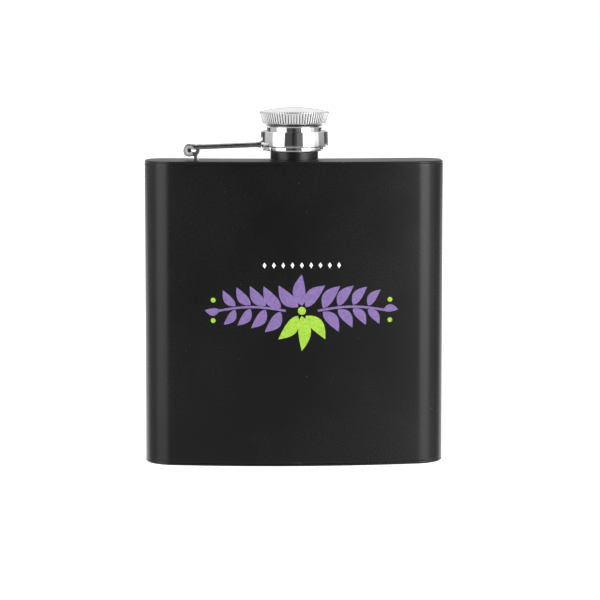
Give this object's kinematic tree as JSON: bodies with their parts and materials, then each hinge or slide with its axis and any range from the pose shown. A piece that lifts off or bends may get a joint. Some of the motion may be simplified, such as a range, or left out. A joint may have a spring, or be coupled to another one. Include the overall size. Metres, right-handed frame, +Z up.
{
  "type": "hip flask",
  "caption": "Pocket hip flask with a kidney-shaped sheet steel body, a threaded neck and a knurled captive screw cap on a hinged swing arm.",
  "frame": {"origin": "middle of the flask's box, on the surface it stands on", "axes": "+Z up along the height, +X to the right seen from the front, and the convex front faces -Y"},
  "size_m": [0.094, 0.0258, 0.112],
  "materials": {
    "powder_coat": "satin black powder coat",
    "neck_steel": "black coat on the root, bare steel on the thread",
    "hinge_steel": "dark brushed steel",
    "pin_steel": "dark steel",
    "polished_steel": "mirror polished",
    "liner_plastic": "moulded, natural white",
    "gasket_silicone": "translucent white silicone"
  },
  "bodies": {
    "flask": {"body_wrap": "powder_coat", "top_plate": "powder_coat", "bottom_plate": "powder_coat", "neck": "neck_steel", "hinge_bracket": "hinge_steel"},
    "arm": {"arm": "hinge_steel", "hinge_pin": "pin_steel"},
    "collar": {"collar": "polished_steel", "collar_pin": "polished_steel"},
    "cap": {"retaining_ring": "polished_steel", "cap_sleeve": "polished_steel", "cap_head": "polished_steel", "cap_liner": "liner_plastic", "cap_gasket": "gasket_silicone"}
  },
  "joints": [
    {"name": "arm_swing", "type": "hinge", "parent": "flask", "child": "arm", "pos_m": [-0.0329, -0.00188, 0.0986], "axis": [0, -1, 0], "range_deg": [0, 180]},
    {"name": "collar_pivot", "type": "hinge", "parent": "arm", "child": "collar", "pos_m": [-0.00975, -0.00188, 0.1007], "axis": [0, -1, 0], "range_deg": [0, 5]},
    {"name": "cap_turn", "type": "hinge", "parent": "collar", "child": "cap", "pos_m": [0, -0.00188, 0.0998], "axis": [0, 0, 1], "range_deg": [0, 540]}
  ]
}
